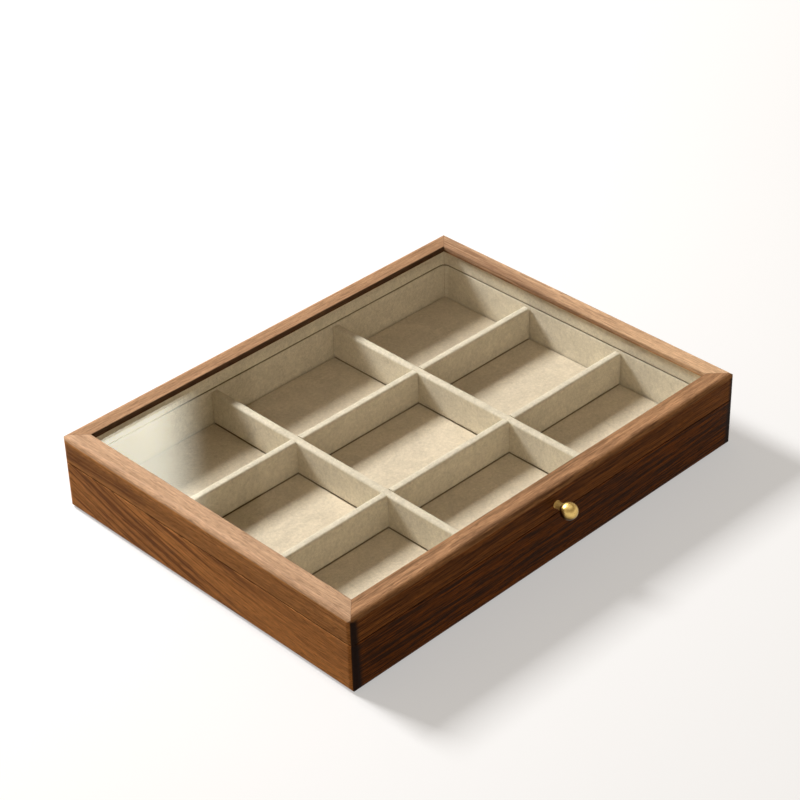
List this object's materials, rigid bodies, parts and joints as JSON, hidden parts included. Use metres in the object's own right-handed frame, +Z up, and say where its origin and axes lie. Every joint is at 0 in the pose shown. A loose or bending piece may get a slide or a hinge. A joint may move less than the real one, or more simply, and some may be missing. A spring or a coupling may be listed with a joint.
{
  "type": "bracelet box",
  "caption": "Shallow walnut bracelet box with suede-lined compartments under a hinged lid with a glass pane, a brass ball knob and brass butt hinges.",
  "frame": {"origin": "centre of the underside, on the surface that the box rests on", "axes": "+X to the right along the long side as seen from the knob, +Y from the knob to the hinges, +Z up through the glass"},
  "size_m": [0.3, 0.2483, 0.048],
  "materials": {
    "box_walnut": "oiled walnut",
    "lid_walnut": "oiled walnut",
    "bottom_plywood": "sanded plywood",
    "lining_suede": "short-nap suede cloth over board",
    "floor_suede": "short-nap suede cloth over board",
    "glass": "clear float glass",
    "brass": "satin brass",
    "steel": "plain steel screw"
  },
  "bodies": {
    "box": {"front_board": "box_walnut", "back_board": "box_walnut", "left_board": "box_walnut", "right_board": "box_walnut", "bottom_panel": "bottom_plywood", "front_lining": "lining_suede", "back_lining": "lining_suede", "left_lining": "lining_suede", "right_lining": "lining_suede", "floor_board": "floor_suede", "front_long_divider": "lining_suede", "back_long_divider": "lining_suede", "left_cross_divider": "lining_suede", "right_cross_divider": "lining_suede", "left_hinge_box_leaf": "brass", "left_hinge_pin": "brass", "right_hinge_box_leaf": "brass", "right_hinge_pin": "brass", "box_leaf_screws": "brass"},
    "lid": {"lid_front_rail": "lid_walnut", "lid_back_rail": "lid_walnut", "lid_left_rail": "lid_walnut", "lid_right_rail": "lid_walnut", "glass_pane": "glass", "lid_front_lining": "lining_suede", "lid_back_lining": "lining_suede", "lid_left_lining": "lining_suede", "lid_right_lining": "lining_suede", "knob": "brass", "knob_screw": "steel", "left_hinge_lid_leaf": "brass", "right_hinge_lid_leaf": "brass", "lid_leaf_screws": "brass"}
  },
  "joints": [
    {"name": "lid_hinge", "type": "hinge", "parent": "box", "child": "lid", "pos_m": [0, 0.1173, 0.031], "axis": [-1, 0, 0], "range_deg": [0, 100]}
  ]
}
